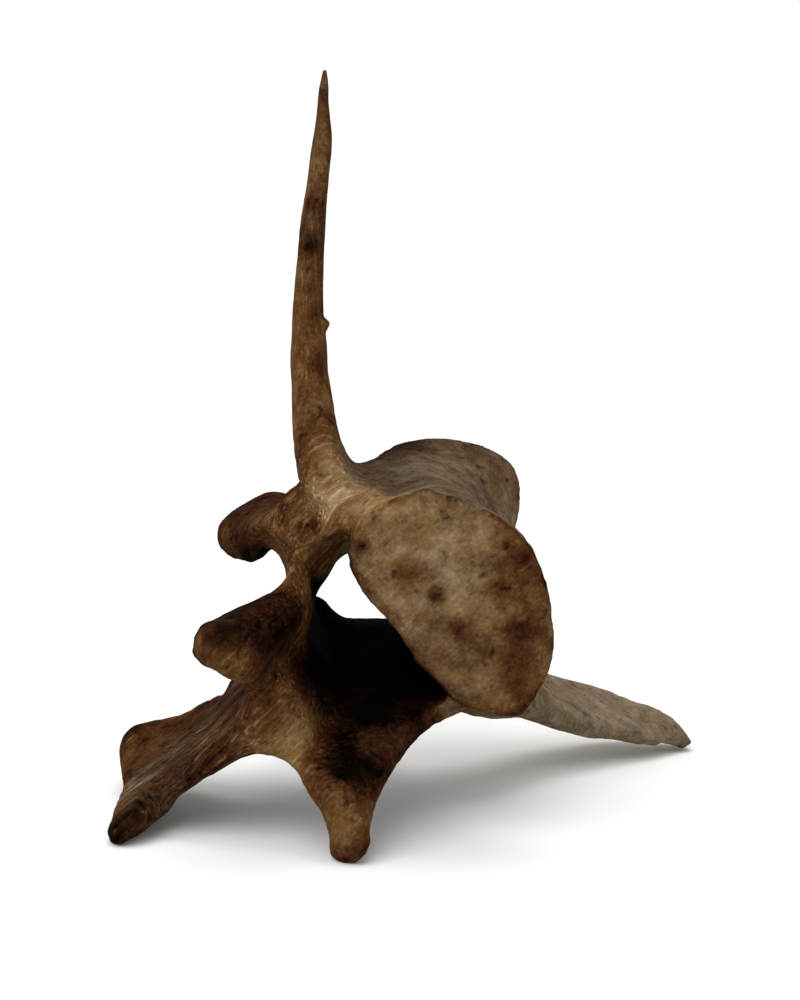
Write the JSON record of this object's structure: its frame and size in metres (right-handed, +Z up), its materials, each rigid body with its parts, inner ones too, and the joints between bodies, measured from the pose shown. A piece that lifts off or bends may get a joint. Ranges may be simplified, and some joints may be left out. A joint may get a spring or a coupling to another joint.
{
  "type": "deer lumbar vertebra",
  "caption": "Weathered brown lumbar vertebra of a deer with winged transverse processes, lying at rest on its spinous tip, a caudal articular tip and a transverse tip.",
  "frame": {"origin": "on the floor, below the middle of the part's box", "axes": "+Z up; the caudal end of the body looks to the front, along -Y; +X to the viewer's right"},
  "size_m": [0.0754, 0.0692, 0.0897],
  "materials": {
    "stained_bone": "dry weathered bone, stained brown, matt to satin"
  },
  "bodies": {
    "root": {"vertebral_body": "stained_bone", "vertebral_arch": "stained_bone", "spinous_process": "stained_bone", "transverse_process_right": "stained_bone", "transverse_process_left": "stained_bone", "cranial_articular_process_right": "stained_bone", "cranial_articular_process_left": "stained_bone", "caudal_articular_process_right": "stained_bone", "caudal_articular_process_left": "stained_bone"}
  },
  "joints": []
}
